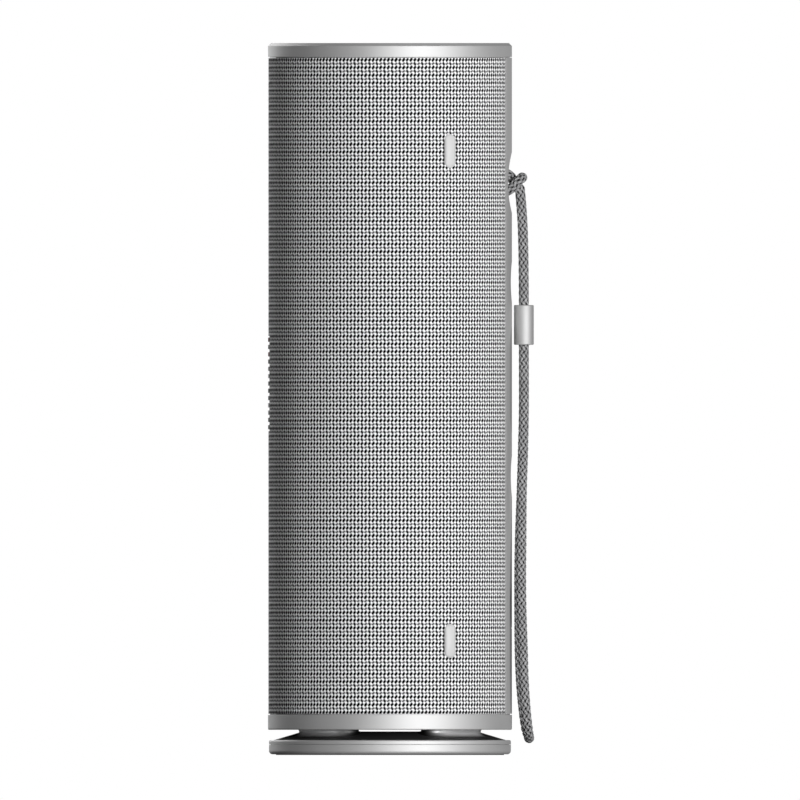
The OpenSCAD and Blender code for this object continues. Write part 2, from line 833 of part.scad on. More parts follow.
base_grip();
base_foot();
base_disc();
deflector();
neck_pillars();
base_screws();
lower_ring();
bottom_frame();
bottom_retainer();
bottom_surround();
bottom_plate();
bottom_weight();
front_shell();
rear_shell();
shell_screws();
grille_tube();
fabric_sleeve();
spine();
strap_bar();
volume_up_button();
volume_down_button();
action_button();
keypad();
button_board();
tact_switches();
port_cover();
usb_socket();
port_board();
upper_pad();
lower_pad();
badge_plate();
badge_bars();
badge_accents();
top_ring();
light_ring();
light_board();
microphones();
top_frame();
top_surround();
top_plate();
top_weight();
woofer_basket();
woofer_magnet();
woofer_surround();
woofer_cone();
dust_cap();
voice_coil();
woofer_screws();
tweeter_frame();
tweeter_dome();
tweeter_magnet();
battery_holder();
battery_cell_left();
battery_cell_right();
main_board();
board_chips();
strap_cord();
strap_knot();
strap_sleeve();
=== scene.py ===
import math

import bmesh
import bpy
import numpy as np
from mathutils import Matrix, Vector


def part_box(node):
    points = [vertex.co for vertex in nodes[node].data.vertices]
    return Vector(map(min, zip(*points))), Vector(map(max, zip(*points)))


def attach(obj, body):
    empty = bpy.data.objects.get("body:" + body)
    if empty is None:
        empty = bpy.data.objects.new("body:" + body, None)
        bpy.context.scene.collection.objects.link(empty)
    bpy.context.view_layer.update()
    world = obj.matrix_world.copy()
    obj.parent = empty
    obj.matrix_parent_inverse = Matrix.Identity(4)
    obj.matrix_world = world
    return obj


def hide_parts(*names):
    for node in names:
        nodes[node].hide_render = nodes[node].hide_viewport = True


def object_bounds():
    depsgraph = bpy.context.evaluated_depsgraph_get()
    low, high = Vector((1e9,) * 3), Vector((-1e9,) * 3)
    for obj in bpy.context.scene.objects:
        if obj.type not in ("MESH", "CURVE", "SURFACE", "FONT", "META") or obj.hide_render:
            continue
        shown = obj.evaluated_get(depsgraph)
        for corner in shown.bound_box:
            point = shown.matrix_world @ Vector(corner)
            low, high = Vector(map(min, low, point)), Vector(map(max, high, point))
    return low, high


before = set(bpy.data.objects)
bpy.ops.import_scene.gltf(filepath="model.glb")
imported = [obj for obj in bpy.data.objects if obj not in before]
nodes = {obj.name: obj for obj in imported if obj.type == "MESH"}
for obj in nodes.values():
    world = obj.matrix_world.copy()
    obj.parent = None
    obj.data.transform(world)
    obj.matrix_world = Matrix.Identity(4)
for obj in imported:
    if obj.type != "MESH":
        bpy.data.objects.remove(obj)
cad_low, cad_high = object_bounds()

MM = 0.001
scene = bpy.context.scene
scene.view_settings.view_transform = "Standard"

# ---- Camera: a square side view at the speaker's mid height, with no perspective ----

VIEW_WIDTH = 0.24136
VIEW_CENTRE = (0.00303, 0.1071)

camera = bpy.data.objects.new("camera", bpy.data.cameras.new("camera"))
scene.collection.objects.link(camera)
camera.data.type = "ORTHO"
camera.data.ortho_scale = VIEW_WIDTH
camera.data.clip_end = 10
camera.location = (VIEW_CENTRE[0], -1.5, VIEW_CENTRE[1])
camera.rotation_euler = (math.pi / 2, 0, 0)
scene.camera = camera


# ---- Node maths ----


class Val:
    """A number inside a material's node tree, with ordinary arithmetic."""

    def __init__(self, tree, socket):
        self.tree, self.socket = tree, socket

    def op(self, operation, *others, clamp=False):
        node = self.tree.nodes.new("ShaderNodeMath")
        node.operation = operation
        node.use_clamp = clamp
        for place, value in zip(node.inputs, (self, *others)):
            put(self.tree, value, place)
        return Val(self.tree, node.outputs[0])

    def __add__(self, v):
        return self.op("ADD", v)

    def __sub__(self, v):
        return self.op("SUBTRACT", v)

    def __mul__(self, v):
        return self.op("MULTIPLY", v)

    def __truediv__(self, v):
        return self.op("DIVIDE", v)

    def ramp(self, low, high):
        """0 at low, 1 at high, with soft ends."""
        node = self.tree.nodes.new("ShaderNodeMapRange")
        node.interpolation_type = "SMOOTHSTEP"
        put(self.tree, self, node.inputs["Value"])
        node.inputs["From Min"].default_value = low
        node.inputs["From Max"].default_value = high
        return Val(self.tree, node.outputs["Result"])


def put(tree, value, place):
    if isinstance(value, Val):
        tree.links.new(value.socket, place)
    else:
        place.default_value = value


class Look:
    """A material under construction."""

    def __init__(self, name, rough, metallic=0.0, **sockets):
        self.mat = bpy.data.materials.new(name)
        self.mat.use_nodes = True
        self.tree = self.mat.node_tree
        self.shader = self.tree.nodes["Principled BSDF"]
        self.shader.inputs["Roughness"].default_value = rough
        self.shader.inputs["Metallic"].default_value = metallic
        for key, value in sockets.items():
            self.shader.inputs[key.replace("_", " ")].default_value = value
        self.place = self.tree.nodes.new("ShaderNodeTexCoord").outputs["Object"]

    def xyz(self):
        split = self.tree.nodes.new("ShaderNodeSeparateXYZ")
        self.tree.links.new(self.place, split.inputs[0])
        return [Val(self.tree, s) for s in split.outputs]

    def noise(self, scale, detail=2.0, stretch=(1, 1, 1)):
        """Noise from 0 to 1 whose grain is about 1 / scale metres."""
        mapping = self.tree.nodes.new("ShaderNodeMapping")
        mapping.inputs["Scale"].default_value = stretch
        self.tree.links.new(self.place, mapping.inputs["Vector"])
        node = self.tree.nodes.new("ShaderNodeTexNoise")
        node.inputs["Scale"].default_value = scale
        node.inputs["Detail"].default_value = detail
        self.tree.links.new(mapping.outputs[0], node.inputs["Vector"])
        return Val(self.tree, node.outputs[0])

    def mix(self, share, a, b):
        """Colour a where share is 0 and colour b where it is 1."""
        node = self.tree.nodes.new("ShaderNodeMix")
        node.data_type = "RGBA"
        put(self.tree, share, node.inputs["Factor"])
        for colour, place in ((a, node.inputs["A"]), (b, node.inputs["B"])):
            if isinstance(colour, bpy.types.NodeSocket):
                self.tree.links.new(colour, place)
            else:
                place.default_value = (*colour, 1)
        return node.outputs["Result"]

    def edges(self, radius):
        """(normal with rounded edges, 0 on flats to 1 on edges)."""
        bevel = self.tree.nodes.new("ShaderNodeBevel")
        bevel.samples = 4
        bevel.inputs["Radius"].default_value = radius
        plain = self.tree.nodes.new("ShaderNodeNewGeometry")
        dot = self.tree.nodes.new("ShaderNodeVectorMath")
        dot.operation = "DOT_PRODUCT"
        self.tree.links.new(bevel.outputs[0], dot.inputs[0])
        self.tree.links.new(plain.outputs["Normal"], dot.inputs[1])
        return bevel.outputs[0], Val(self.tree, dot.outputs["Value"]).ramp(0.99, 0.8)

    def bump(self, height, depth, normal=None):
        """A relief of the given depth in metres where height is 1."""
        node = self.tree.nodes.new("ShaderNodeBump")
        node.inputs["Distance"].default_value = depth
        put(self.tree, height, node.inputs["Height"])
        if normal is not None:
            self.tree.links.new(normal, node.inputs["Normal"])
        self.tree.links.new(node.outputs[0], self.shader.inputs["Normal"])

    def colour(self, socket):
        self.tree.links.new(socket, self.shader.inputs["Base Color"])

    def roughness(self, value):
        self.tree.links.new(value.socket, self.shader.inputs["Roughness"])


def moulded(name, grey, rough, metallic=0.0, tint=(1, 1, 1), grain=(3500, 0.000012), mottle=0.05,
            edge=0.00018, wear=0.12, brush=(1, 1, 1), **sockets):
    """Plastic, rubber or metal: a soft mottle, a fine grain, and slightly worn, rounded edges."""
    look = Look(name + "_look", rough, metallic, **sockets)
    base = [grey * t for t in tint]
    broad = look.noise(55, 3)
    fine = look.noise(grain[0], 2, brush)
    share = (broad * 0.6 + fine * 0.4).ramp(0.3, 0.7)
    dark, light = ([c * (1 + s * mottle) for c in base] for s in (-1, 1))
    normal, edges = look.edges(edge)
    worn = [min(1, c * (1 + wear) + 0.01) for c in base]
    look.colour(look.mix(edges * 0.8, look.mix(share, dark, light), worn))
    # The two noises add 0.08 on average, so the roughness asked for starts that much lower
    look.roughness(fine * 0.1 + broad * 0.06 + (rough - 0.08) + edges * 0.05)
    look.bump(fine, grain[1], normal)
    return look.mat


def circuit_board(name):
    """Green board with wandering traces, which run one way in patches, and gold pads."""
    look = Look(name + "_look", 0.4)
    x, y, z = look.xyz()
    run = (z * 900 + (y * 300).op("SINE") * 2).op("SINE").ramp(0.55, 0.8)
    cross = (y * 1400 + (z * 260).op("SINE") * 2).op("SINE").ramp(0.7, 0.9)
    patch = look.noise(180, 2).ramp(0.48, 0.53)
    traces = (run * patch).op("MAXIMUM", cross * (patch * -1 + 1))
    pads = look.noise(900, 0).ramp(0.66, 0.7)
    green = look.mix(traces, (0.012, 0.1, 0.04), (0.03, 0.2, 0.09))
    look.colour(look.mix(pads * 0.8, green, (0.75, 0.6, 0.35)))
    look.roughness(pads * -0.15 + 0.42)
    look.bump(traces + pads, 0.00003)
    return look.mat


# ---- Knitted sleeve ----

KNIT_TURN = math.radians(1.8)
KNIT_START = -math.pi / 2 + 3.56 * KNIT_TURN
KNIT_Z = 135.6 * MM
KNIT_ROW = 1.158 * MM
KNIT_SWAY = 0.16
# Relief above the fabric's middle surface: a yarn's crown, the bridge between rows, and a hole
CROWN_RISE, BRIDGE_RISE, HOLE_DEPTH = 0.1, 0.05, 0.12
# Each hole of the 2 by 2 repeat: column, row, half width, half height, slant, darkness of its painted shade
KNIT_HOLES = (
    (0, 0, 0.37, 0.54, 0.35, 1.0),
    (1, 0, 0.34, 0.46, 0.35, 1.0),
    (1, 1, 0.32, 0.48, -0.35, 0.95),
    (0, 1, 0.27, 0.34, 0.85, 0.78),
)


def knit_look(name):
    """Pale yarn on a grid of stitches, which sways a little, with painted shade: dark holes, and darker yarn
    between the stitches' crowns.
    """
    look = Look(name + "_look", 0.85, Specular_IOR_Level=0.08)
    x, y, z = look.xyz()
    u = (y.op("ARCTAN2", x) - KNIT_START) / KNIT_TURN
    v = (z - KNIT_Z) / KNIT_ROW
    u, v = u + (look.noise(420, 2) - 0.5) * KNIT_SWAY, v + (look.noise(510, 2) - 0.5) * KNIT_SWAY
    hole_shade_and_depth = None
    for column, row, half_w, half_h, slant, dark in KNIT_HOLES:
        du = (u - (column - 1)).op("FLOORED_MODULO", 2.0) - 1
        dv = (v - (row - 1)).op("FLOORED_MODULO", 2.0) - 1
        across = (du - dv * slant) / half_w
        up = dv / half_h
        hole = (across * across + up * up).op("SQRT").ramp(1.25, 0.7) * dark
        hole_shade_and_depth = hole if hole_shade_and_depth is None else hole_shade_and_depth.op("MAXIMUM", hole)
    across, up = ((c * math.pi).op("SINE").op("ABSOLUTE") for c in (u, v))
    crown_and_crease_shade = (up * 0.75 + 0.25) * (across * 0.65 + 0.35)
    fibre = look.noise(9000, 3, (1, 1, 0.35))
    # Painted shade: the yarn darkens where it dips between the crowns of the stitches
    yarn = look.mix(crown_and_crease_shade * 1.05 + fibre * 0.2 - 0.15, (0.12, 0.12, 0.12), (0.93, 0.93, 0.94))
    # Painted shade: the holes are painted near black for the shade inside them
    look.colour(look.mix(hole_shade_and_depth, yarn, (0.004, 0.004, 0.004)))
    look.bump(crown_and_crease_shade * 0.6 + fibre * 0.25 - hole_shade_and_depth * 1.2, 0.00022)
    return look.mat


# ---- Braid ----


def braid_look(name):
    """Grey plied yarn, with painted shade that turns it black where the lift attribute says that it sinks
    between its neighbours.
    """
    look = Look(name + "_look", 0.8, Sheen_Weight=0.1, Sheen_Roughness=0.5, Specular_IOR_Level=0.2)
    uv = look.tree.nodes.new("ShaderNodeUVMap")
    split = look.tree.nodes.new("ShaderNodeSeparateXYZ")
    look.tree.links.new(uv.outputs[0], split.inputs[0])
    along, across = (Val(look.tree, s) for s in split.outputs[:2])
    strand = ((across * 14 + along * 1.1) * (2 * math.pi)).op("SINE") * 0.5 + 0.5
    fibre = look.noise(8000, 3)
    shade = (strand * 0.55 + fibre * 0.45).ramp(0.15, 0.75)
    tone = look.noise(260, 1).ramp(0.35, 0.65)
    light = look.mix(tone, (0.38, 0.38, 0.385), (0.47, 0.47, 0.475))
    yarn = look.mix(shade, (0.12, 0.12, 0.125), light)
    # Painted shade: the yarn turns black where it sinks between its neighbours
    lift = look.tree.nodes.new("ShaderNodeAttribute")
    lift.attribute_name = "lift"
    above_painted_sink_shade = Val(look.tree, lift.outputs["Fac"]).ramp(0.36, 0.88)
    look.colour(look.mix(above_painted_sink_shade, (0.002, 0.002, 0.002), yarn))
    look.bump(strand * 0.5 + fibre * 0.5, 0.00006)
    return look.mat


def neck_look(name):
    """Satin grey with painted shade, which turns it black towards the windows and on the foot that spreads
    over the cone.
    """
    look = Look(name + "_look", 0.34, metallic=0.85)
    x, y, z = look.xyz()
    quarter = math.pi / 2
    turn = (y.op("ARCTAN2", x).op("FLOORED_MODULO", quarter) - quarter / 2).op("ABSOLUTE")
    # Painted shade: black low on the foot and on the pillars' corners beside the windows
    above_painted_foot_shade = z.ramp(5.2 * MM, 6.6 * MM)
    outside_painted_shade = turn.ramp(math.radians(25), math.radians(10)) * above_painted_foot_shade
    broad, fine = look.noise(55, 3), look.noise(3800, 2)
    grey = look.mix((broad * 0.6 + fine * 0.4).ramp(0.3, 0.7), (0.93, 0.93, 0.935), (0.97, 0.97, 0.975))
    look.colour(look.mix(outside_painted_shade, (0.01, 0.01, 0.01), grey))
    look.roughness(fine * 0.06 + broad * 0.04 + 0.64 - outside_painted_shade * 0.32)
    look.bump(fine, 0.000004)
    return look.mat


LOOKS = {
    "grip_rubber": moulded("grip_rubber", 0.035, 0.8, grain=(2500, 0.00003)),
    "shell_grey": moulded("shell_grey", 0.5, 0.68, metallic=0.8, grain=(5200, 0.000006), mottle=0.02),
    "button_grey": moulded("button_grey", 0.27, 0.5, metallic=0.2, grain=(5200, 0.000006), mottle=0.02),
    "cover_rubber": moulded("cover_rubber", 0.22, 0.7, grain=(4500, 0.00001), mottle=0.03),
    "black_plastic": moulded("black_plastic", 0.012, 0.55, grain=(2600, 0.00002)),
    "neck_plastic": neck_look("neck_plastic"),
    "surround_rubber": moulded("surround_rubber", 0.02, 0.5, grain=(1800, 0.00001)),
    "radiator_metal": moulded("radiator_metal", 0.24, 0.55, 0.6, brush=(1, 0.04, 1), mottle=0.05),
    "steel": moulded("steel", 0.55, 0.3, 1.0, brush=(0.1, 1, 1), mottle=0.08),
    "knit_fabric": knit_look("knit_fabric"),
    "circuit_board": circuit_board("circuit_board"),
    "chip_shield": moulded("chip_shield", 0.5, 0.38, 1.0, brush=(1, 1, 0.1)),
    "pad_rubber": moulded("pad_rubber", 0.45, 0.55, grain=(4200, 0.000012), mottle=0.02),
    "badge_grey": moulded("badge_grey", 0.16, 0.45, grain=(4200, 0.00001)),
    "badge_light": moulded("badge_light", 0.45, 0.4, grain=(4200, 0.00001)),
    "badge_red": moulded("badge_red", 0.22, 0.35, tint=(1, 0.08, 0.1), grain=(4200, 0.00001)),
    "light_diffuser": moulded("light_diffuser", 0.78, 0.6, grain=(2600, 0.00001), mottle=0.02,
                              Subsurface_Weight=0.3, Subsurface_Scale=0.002),
    "cone_paper": moulded("cone_paper", 0.025, 0.85, grain=(1500, 0.00006)),
    "copper": moulded("copper", 0.7, 0.35, 1.0, tint=(1, 0.5, 0.3), brush=(1, 0.05, 0.05)),
    "dome_metal": moulded("dome_metal", 0.65, 0.3, 1.0, mottle=0.03),
    "battery_wrap": moulded("battery_wrap", 0.35, 0.3, tint=(0.06, 0.3, 1), grain=(600, 0.00003)),
    "strap_braid": braid_look("strap_braid"),
    "sleeve_metal": moulded("sleeve_metal", 0.46, 0.7, 0.85, grain=(4800, 0.000004), mottle=0.02,
                            edge=0.0001),
    "strap_core": moulded("strap_core", 0.01, 0.9, grain=(4000, 0.00003)),
}


# ---- Mesh helpers ----


def mesh_piece(name, verts, faces, slots, body, material_of=None, uvs=None, lift=None):
    """A mesh object in metres that rides on a body. slots are the looks, and the first covers every face
    unless material_of says otherwise.
    """
    mesh = bpy.data.meshes.new(name)
    verts = np.asarray(verts, float)
    mesh.from_pydata(verts.tolist(), [], faces)
    for s in slots:
        mesh.materials.append(LOOKS[s])
    if material_of is not None:
        mesh.polygons.foreach_set("material_index", np.asarray(material_of, np.int32))
    mesh.polygons.foreach_set("use_smooth", np.ones(len(mesh.polygons), bool))
    if uvs is not None:
        mesh.uv_layers.new(name="strand").data.foreach_set("uv", np.asarray(uvs, float).ravel())
    if lift is not None:
        mesh.attributes.new("lift", "FLOAT", "POINT").data.foreach_set("value", np.asarray(lift, np.float32))
    mesh.update()
    piece = bpy.data.objects.new(name, mesh)
    scene.collection.objects.link(piece)
    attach(piece, body)
    return piece


def catmull_rom(points, steps):
    """A smooth line through the points."""
    p = np.asarray(points, float)
    p = np.vstack([2 * p[0] - p[1], p, 2 * p[-1] - p[-2]])
    out = []
    for i in range(1, len(p) - 2):
        for k in range(steps):
            t = k / steps
            out.append(0.5 * (2 * p[i] + (p[i + 1] - p[i - 1]) * t
                              + (2 * p[i - 1] - 5 * p[i] + 4 * p[i + 1] - p[i + 2]) * t ** 2
                              + (3 * p[i] - p[i - 1] - 3 * p[i + 1] + p[i + 2]) * t ** 3))
    return np.array(out + [p[-2]])


def line_length(line):
    return float(np.linalg.norm(np.diff(line, axis=0), axis=1).sum())


def resample(line, count):
    """The same line as count evenly spaced points."""
    along = np.concatenate([[0], np.cumsum(np.linalg.norm(np.diff(line, axis=0), axis=1))])
    at = np.linspace(0, along[-1], count)
    return np.column_stack([np.interp(at, along, line[:, k]) for k in range(3)])


def unit(v):
    return v / np.maximum(np.linalg.norm(v, axis=-1, keepdims=True), 1e-12)


def carried_frames(line):
    """Two directions across the line at each point, which turn as little as they can."""
    tangents = unit(np.gradient(line, axis=0))
    side = np.cross(tangents[0], (0.0, 1.0, 0.0))
    if np.linalg.norm(side) < 0.1:
        side = np.cross(tangents[0], (1.0, 0.0, 0.0))
    sides = []
    for t in tangents:
        side = unit(side - t * np.dot(side, t))
        sides.append(side)
    sides = np.array(sides)
    return tangents, sides, np.cross(tangents, sides)


def tube_faces(first, rings, around):
    """Quads of an open tube, and the place of each corner round and along it."""
    i, j = np.meshgrid(np.arange(rings - 1), np.arange(around), indexing="ij")
    i, j = i.ravel(), j.ravel()
    k = (j + 1) % around
    low, high = i * around, (i + 1) * around
    quads = first + np.column_stack([low + j, low + k, high + k, high + j])
    ups = np.column_stack([i, i, i + 1, i + 1])
    turns = np.column_stack([j, j + 1, j + 1, j]) / around
    return quads, ups, turns


YARN_WAVE, YARN_HALF_WIDTH, YARN_HALF_THICKNESS = 0.16 * MM, 0.4 * MM, 0.17 * MM
CORE_SHARE, CORE_SIDES, CORE_STEP = 0.66, 10, 6
# Section of one flat braid yarn, as shares of its half width and half thickness
YARN_SECTION = ((1, -0.5), (0.72, 0.8), (0, 0.62), (-0.72, 0.8), (-1, -0.5), (0, -1))


def braided(name, line, body, radius=1.6 * MM, lead=13.5 * MM, yarns=6, steps=42):
    """A round braid along a line: flat yarns wind each way, over one and under one, round a dark core."""
    count = max(8, int(line_length(line) / lead * steps))
    line = resample(line, count)
    _, across, up = carried_frames(line)
    travel = np.linspace(0, line_length(line), count) / lead * 2 * math.pi
    middle = radius - YARN_WAVE - YARN_HALF_THICKNESS
    sides = len(YARN_SECTION)
    wide_share, high_share = np.array(YARN_SECTION).T
    verts, faces, uvs, slots, lift = [], [], [], [], []
    total = 0
    for way in (1, -1):
        for n in range(yarns):
            turn = way * travel + 2 * math.pi * n / yarns
            out = np.cos(turn)[:, None] * across + np.sin(turn)[:, None] * up
            reach = middle + way * YARN_WAVE * np.cos(yarns * travel)
            centre = line + out * reach[:, None]
            wide = unit(np.cross(np.gradient(centre, axis=0), out))
            offset = YARN_HALF_WIDTH * wide_share
            high = YARN_HALF_THICKNESS * high_share - offset ** 2 * 0.7 / (2 * middle)
            ring = (centre[:, None] + wide[:, None] * offset[None, :, None]
                    + out[:, None] * high[None, :, None])
            verts.append(ring.reshape(-1, 3))
            height = (reach - middle)[:, None] + high[None, :]
            lift.append((0.5 + 0.5 * height / (YARN_WAVE + YARN_HALF_THICKNESS)).ravel())
            quads, ups, turns = tube_faces(total, count, sides)
            faces.append(quads[:, ::-1] if way < 0 else quads)
            uv = np.stack([ups * lead / steps / MM, turns], axis=-1)
            uvs.append((uv[:, ::-1] if way < 0 else uv).reshape(-1, 2))
            slots.append(np.zeros(len(quads), int))
            total += count * sides
    core_line = line[::CORE_STEP]
    _, across, up = carried_frames(core_line)
    angles = np.linspace(0, 2 * math.pi, CORE_SIDES + 1)[:-1]
    ring = core_line[:, None] + (radius * CORE_SHARE) * (
        np.cos(angles)[None, :, None] * across[:, None] + np.sin(angles)[None, :, None] * up[:, None])
    verts.append(ring.reshape(-1, 3))
    lift.append(np.zeros(len(core_line) * CORE_SIDES))
    quads, ups, turns = tube_faces(total, len(core_line), CORE_SIDES)
    faces.append(quads)
    uvs.append(np.stack([ups, turns], axis=-1).reshape(-1, 2))
    slots.append(np.ones(len(quads), int))
    return mesh_piece(name, np.vstack(verts), np.vstack(faces).tolist(), ["strap_braid", "strap_core"],
                      body, np.concatenate(slots), np.vstack(uvs), np.concatenate(lift))


# ---- Strap: a looped cord, hitched to the bar at the top of the spine ----

STRAP_ROUTE = [
    (39.2, -1.8, 171), (39.7, -1.8, 165), (40.1, -1.8, 158), (40.3, -1.8, 149), (40.4, -1.8, 137),
    (40.4, -1.8, 120), (40.4, -1.8, 104), (40.2, -2.8, 92), (39.8, -5, 79), (39.7, -7.4, 66),
    (39.6, -9.2, 54), (39.7, -10, 44), (40.1, -10.6, 32), (40.4, -10.7, 22), (41, -9.8, 13.4),
    (41.6, -7, 8), (41.9, -3.6, 5.8), (42, 0, 5.1), (41.8, 3.6, 5.8), (41.1, 7, 8),
    (40.3, 9.8, 13.4), (39.5, 10.7, 22), (39.1, 10.6, 32), (39, 10, 44), (39, 9.2, 54),
    (39.2, 7.4, 66), (39.7, 5, 79), (40.1, 2.8, 92), (40.4, 1.8, 104), (40.4, 1.8, 120),
    (40.4, 1.8, 137), (40.3, 1.8, 149), (40.1, 1.8, 158), (39.7, 1.8, 165), (39.2, 1.8, 171),
]
# Half of the hitch, from one strand, over the bar, down behind it and forward to the crossing loop
HITCH_HALF = [
    (39.2, -1.8, 170.7), (38.3, -1.8, 172), (37.2, -1.8, 173.2), (36.4, -1.8, 174.5),
    (35.2, -1.9, 175.4), (34, -2.1, 175.6), (32.5, -2.4, 175.1), (31.3, -2.8, 173.6),
    (31.3, -3.3, 171.8), (32.5, -3.8, 170.2), (34.3, -4.3, 169.9), (36, -4.8, 170.5),
    (37.3, -5, 171.6), (38.4, -4.9, 172.9), (39.3, -4, 173.7), (39.8, -2.2, 174.1),
]
strap_line = catmull_rom(np.array(STRAP_ROUTE) * MM, 12)
strap = braided("strap_braid_cord", strap_line, "strap")
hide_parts("strap_cord")
hitch_points = HITCH_HALF + [(39.9, 0, 174.2)] + [(x, -y, z) for x, y, z in reversed(HITCH_HALF)]
hitch = braided("strap_hitch", catmull_rom(np.array(hitch_points) * MM, 10), "strap")
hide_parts("strap_knot")


SLEEVE_WALL, SLEEVE_RIM, SLEEVE_SIDES = 1.15 * MM, 0.3 * MM, 72


def turned_sleeve():
    """The metal sleeve on the strap: an oval tube with softly rounded rims."""
    low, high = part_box("strap_sleeve")
    centre = (low + high) / 2
    outer, wall, rim = (high.x - low.x) / 2, SLEEVE_WALL, SLEEVE_RIM
    half = (high.y - low.y) / 2 - outer
    bends = np.radians(np.linspace(0, 90, 5))
    profile = [(outer - rim + rim * math.sin(b), high.z - rim + rim * math.cos(b)) for b in bends]
    profile += [(outer - rim + rim * math.cos(b), low.z + rim - rim * math.sin(b)) for b in bends]
    profile += [(outer - wall + rim - rim * math.sin(b), low.z + rim - rim * math.cos(b)) for b in bends]
    profile += [(outer - wall + rim - rim * math.cos(b), high.z - rim + rim * math.sin(b)) for b in bends]
    around = SLEEVE_SIDES
    turns = 2 * math.pi * (np.arange(around) + 0.5) / around
    verts = [(centre.x + r * math.cos(t), centre.y + r * math.sin(t) + math.copysign(half, math.sin(t)), z)
             for r, z in profile for t in turns]
    faces, _, _ = tube_faces(0, len(profile), around)
    last = (len(profile) - 1) * around
    faces = faces.tolist() + [[last + k, last + (k + 1) % around, (k + 1) % around, k] for k in range(around)]
    faces = [f[::-1] for f in faces]
    piece = mesh_piece("strap_sleeve_turned", verts, faces, ["sleeve_metal"], "sleeve")
    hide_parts("strap_sleeve")
    return piece


sleeve = turned_sleeve()


# ---- Fabric pieces ----

KNIT_THICKNESS = 0.5 * MM
BADGE_GAP = 0.1 * MM
SPINE_EDGE = math.radians(18.3)


def snapped(values, *targets):
    """The values with the nearest one to each target moved onto it."""
    values = np.array(values)
    for t in targets:
        values[np.argmin(abs(values - t))] = t
    return values


def knit_height(u, v):
    """How far the knit stands above its middle surface."""
    across, up = abs(np.sin(math.pi * u)), abs(np.sin(math.pi * v))
    hole = (1 - across ** 2) * (1 - up ** 2)
    crown = up * (0.25 + 0.75 * across)
    return (CROWN_RISE * crown + BRIDGE_RISE * across * (1 - up) - HOLE_DEPTH * hole) * MM


def knit_half(name, start, end):
    """Half of the sleeve, as a grid with two points to each stitch, and an opening for the badge."""
    low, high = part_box("fabric_sleeve")
    outer = high.y - CROWN_RISE * MM
    inner = outer - KNIT_THICKNESS
    badge_low, badge_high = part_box("badge_plate")
    gap = math.asin((badge_high.y + BADGE_GAP) / outer)
    first = math.ceil((start - KNIT_START) / (KNIT_TURN / 2) + 0.3)
    last = math.floor((end - KNIT_START) / (KNIT_TURN / 2) - 0.3)
    turns = KNIT_START + np.arange(first, last + 1) * KNIT_TURN / 2
    turns = np.concatenate([[start], turns, [end]])
    turns = snapped(turns, math.pi - gap if start < math.pi - gap else math.pi + gap)
    rows = np.arange(math.ceil((low.z - KNIT_Z) / (KNIT_ROW / 2) + 0.3),
                     math.floor((high.z - KNIT_Z) / (KNIT_ROW / 2) - 0.3) + 1)
    heights = np.concatenate([[low.z], KNIT_Z + rows * KNIT_ROW / 2, [high.z]])
    open_low, open_high = badge_low.z - BADGE_GAP, badge_high.z + BADGE_GAP
    heights = snapped(heights, open_low, open_high)
    t, z = np.meshgrid(turns, heights)
    reach = outer + knit_height((t - KNIT_START) / KNIT_TURN, (z - KNIT_Z) / KNIT_ROW)
    verts = np.stack([reach * np.cos(t), reach * np.sin(t), z], axis=-1).reshape(-1, 3)
    i, j = np.meshgrid(np.arange(len(heights) - 1), np.arange(len(turns) - 1), indexing="ij")
    mid_t, mid_z = (turns[j] + turns[j + 1]) / 2, (heights[i] + heights[i + 1]) / 2
    keep = ~((abs(mid_t - math.pi) < gap) & (mid_z > open_low) & (mid_z < open_high))
    i, j = i[keep], j[keep]
    n = len(turns)
    faces = np.column_stack([i * n + j, i * n + j + 1, (i + 1) * n + j + 1, (i + 1) * n + j])
    piece = mesh_piece(name, verts, faces.tolist(), ["knit_fabric"], "housing")
    bm = bmesh.new()
    bm.from_mesh(piece.data)
    bmesh.ops.delete(bm, geom=[v for v in bm.verts if not v.link_faces], context="VERTS")
    rim = [e for e in bm.edges if e.is_boundary]
    made = bmesh.ops.extrude_edge_only(bm, edges=rim)["geom"]
    for vert in (g for g in made if isinstance(g, bmesh.types.BMVert)):
        flat = Vector((vert.co.x, vert.co.y)).normalized() * inner
        vert.co.x, vert.co.y = flat
    bm.to_mesh(piece.data)
    bm.free()
    piece.data.polygons.foreach_set("use_smooth", np.ones(len(piece.data.polygons), bool))
    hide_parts("fabric_sleeve")


knit_half("knit_far_half", SPINE_EDGE, math.pi)
knit_half("knit_near_half", math.pi, 2 * math.pi - SPINE_EDGE)


# ---- Neck: four pillars with soft corners, flaring out over the base's cone ----

PILLAR_HALF_TURNS = (math.radians(21.8), math.radians(24))
PILLAR_CORNER = (4.5 * MM, 3 * MM)
PILLAR_INNER, PILLAR_OUTER = 23.75 * MM, 30.65 * MM
PILLAR_STEPS = 14
FOOT_SPREAD, HEAD_SPREAD = 1.9, 0.28
# Radius where the base's cone ends in its flat top
CONE_TOP_RADIUS = 26.3 * MM


def pillar_outline(inner, outer):
    """Half of a pillar's section as (turn from its middle, radius), from the inner face to the outer."""
    across, deep = PILLAR_CORNER
    narrow, wide = PILLAR_HALF_TURNS
    points = [(narrow * share, inner) for share in (0, 0.5, 1)]
    side_end = outer - deep
    points += [(narrow + (wide - narrow) * t, inner + (side_end - inner) * t) for t in (0.25, 0.5, 0.75, 1)]
    for a in np.radians(np.linspace(10, 90, 9)):
        points.append((wide - across / outer * (1 - math.cos(a)), side_end + deep * math.sin(a)))
    flat = wide - across / outer
    return points + [(flat * share, outer) for share in (0.75, 0.5, 0.25)]


